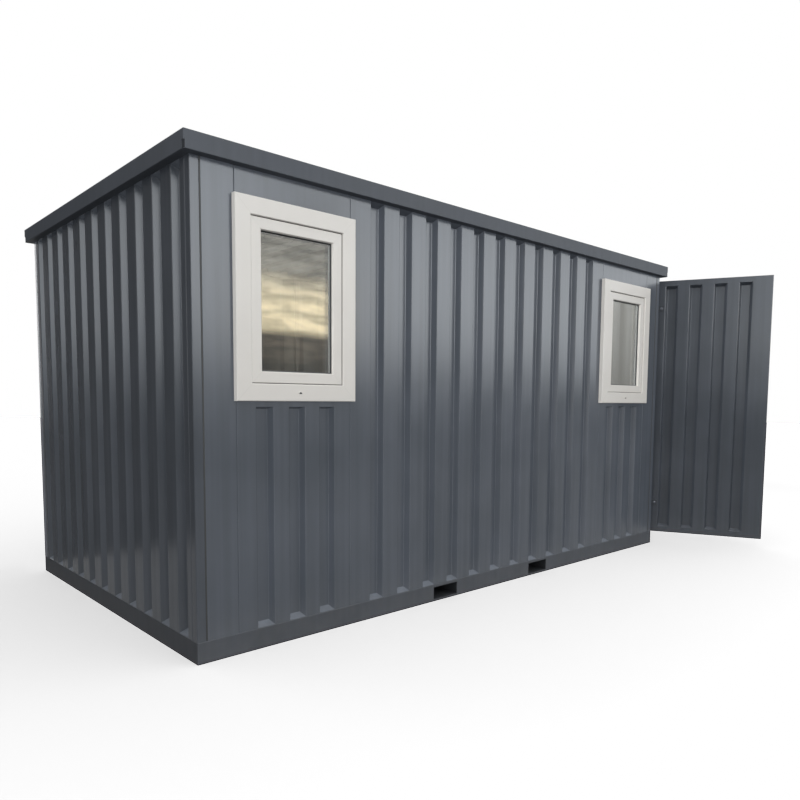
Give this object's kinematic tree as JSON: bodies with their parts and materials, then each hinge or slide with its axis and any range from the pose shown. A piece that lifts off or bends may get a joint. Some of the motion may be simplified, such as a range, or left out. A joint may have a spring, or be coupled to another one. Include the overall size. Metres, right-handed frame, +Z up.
{
  "type": "portable site cabin",
  "caption": "Flat-roofed steel site cabin of grooved sheet panels with white windows in the front wall, fork pockets in the base and a double-leaf door at one end.",
  "frame": {"origin": "centre of the base's underside, on the middle floor bearer", "axes": "+X along the cabin towards the door end, -Y out of the window wall, +Z up"},
  "size_m": [4.4667, 2.9144, 2.2],
  "materials": {
    "painted_steel": "semi-gloss anthracite grey coating",
    "white_plastic": "smooth warm white",
    "window_glass": "clear sealed double pane",
    "floor_board": "coated plywood"
  },
  "bodies": {
    "cabin": {"back_wall_left": "painted_steel", "back_wall_right": "painted_steel", "base_rail_back": "painted_steel", "base_rail_front": "painted_steel", "base_rail_left": "painted_steel", "base_rail_right": "painted_steel", "corner_post_back_left": "painted_steel", "corner_post_back_right": "painted_steel", "corner_post_front_left": "painted_steel", "corner_post_front_right": "painted_steel", "door_header": "painted_steel", "door_jamb_back": "painted_steel", "door_jamb_front": "painted_steel", "floor_bearers": "painted_steel", "floor_board": "floor_board", "fork_tunnel_left": "painted_steel", "fork_tunnel_right": "painted_steel", "front_filler_left": "painted_steel", "front_filler_right": "painted_steel", "front_hinge_lower": "painted_steel", "front_hinge_upper": "painted_steel", "front_wall_middle": "painted_steel", "left_end_wall": "painted_steel", "rear_hinge_lower": "painted_steel", "rear_hinge_upper": "painted_steel", "rear_leaf_frame": "painted_steel", "rear_leaf_skin": "painted_steel", "roof_fascia_back": "painted_steel", "roof_fascia_front": "painted_steel", "roof_fascia_left": "painted_steel", "roof_fascia_right": "painted_steel", "roof_sheet": "painted_steel", "window_frame_left": "white_plastic", "window_frame_right": "white_plastic", "window_glass_left": "window_glass", "window_glass_right": "window_glass", "window_panel_left": "painted_steel", "window_panel_right": "painted_steel", "window_sash_left": "white_plastic", "window_sash_right": "white_plastic"},
    "front_leaf": {"front_leaf_skin": "painted_steel", "front_leaf_frame": "painted_steel", "front_leaf_strap_upper": "painted_steel", "front_leaf_strap_lower": "painted_steel"}
  },
  "joints": [
    {"name": "front_leaf_swing", "type": "hinge", "parent": "cabin", "child": "front_leaf", "pos_m": [2.029, -0.935, 1.1], "axis": [0, 0, -1], "range_deg": [-156, 24]}
  ]
}
